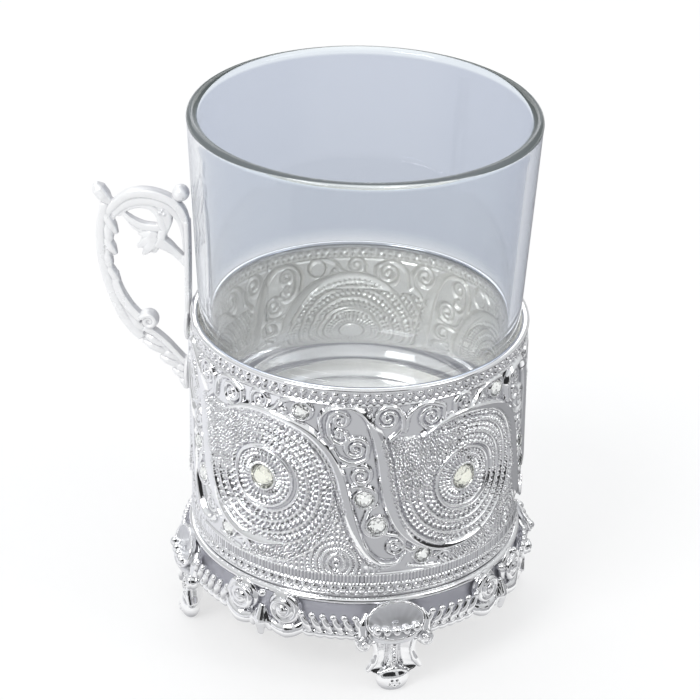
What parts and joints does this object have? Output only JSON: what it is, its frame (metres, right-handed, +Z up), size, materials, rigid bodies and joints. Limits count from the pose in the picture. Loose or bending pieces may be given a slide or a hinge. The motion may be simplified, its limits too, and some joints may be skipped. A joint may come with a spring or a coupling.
{
  "type": "drinking glass in footed metal holder",
  "caption": "Clear tapered drinking glass standing loose in a footed, embossed silver-plated holder with set stones and a scroll handle; the glass lifts out for washing.",
  "frame": {"origin": "middle of the object's box, on the surface that the feet stand on", "axes": "+Z up along the glass's axis, which passes 10.5 mm towards +X from the origin; the handle points along -X"},
  "size_m": [0.0996, 0.0786, 0.1194],
  "materials": {
    "clear_glass": "polished clear glass",
    "silver_sheet": "bright silver plate on stamped sheet",
    "silver_casting": "bright silver plate on cast ornament",
    "steel": "plain steel",
    "clear_stone": "faceted clear stone with a faint yellow tint"
  },
  "bodies": {
    "holder": {"sleeve": "silver_sheet", "base_ring": "silver_casting", "floor_plate": "silver_sheet", "foot_1": "silver_casting", "foot_2": "silver_casting", "foot_3": "silver_casting", "foot_4": "silver_casting", "foot_screw_1": "steel", "foot_screw_2": "steel", "foot_screw_3": "steel", "foot_screw_4": "steel", "handle": "silver_casting", "handle_rivet_upper": "steel", "handle_rivet_lower": "steel", "medallion_stone_1": "clear_stone", "medallion_stone_2": "clear_stone", "medallion_stone_3": "clear_stone", "medallion_stone_4": "clear_stone", "medallion_stone_5": "clear_stone", "strip_stone_upper_1": "clear_stone", "strip_stone_upper_2": "clear_stone", "strip_stone_upper_3": "clear_stone", "strip_stone_upper_4": "clear_stone", "strip_stone_upper_5": "clear_stone", "strip_stone_lower_1": "clear_stone", "strip_stone_lower_2": "clear_stone", "strip_stone_lower_3": "clear_stone", "strip_stone_lower_4": "clear_stone", "strip_stone_lower_5": "clear_stone", "scroll_stone_top_1": "clear_stone", "scroll_stone_top_2": "clear_stone", "scroll_stone_top_3": "clear_stone", "scroll_stone_top_4": "clear_stone", "scroll_stone_top_5": "clear_stone", "scroll_stone_bottom_1": "clear_stone", "scroll_stone_bottom_2": "clear_stone", "scroll_stone_bottom_3": "clear_stone", "scroll_stone_bottom_4": "clear_stone", "scroll_stone_bottom_5": "clear_stone"},
    "glass": {"glass_tumbler": "clear_glass"}
  },
  "joints": [
    {"name": "glass_lift", "type": "slide", "parent": "holder", "child": "glass", "axis": [0, 0, 1], "range_m": [0, 0.075]}
  ]
}
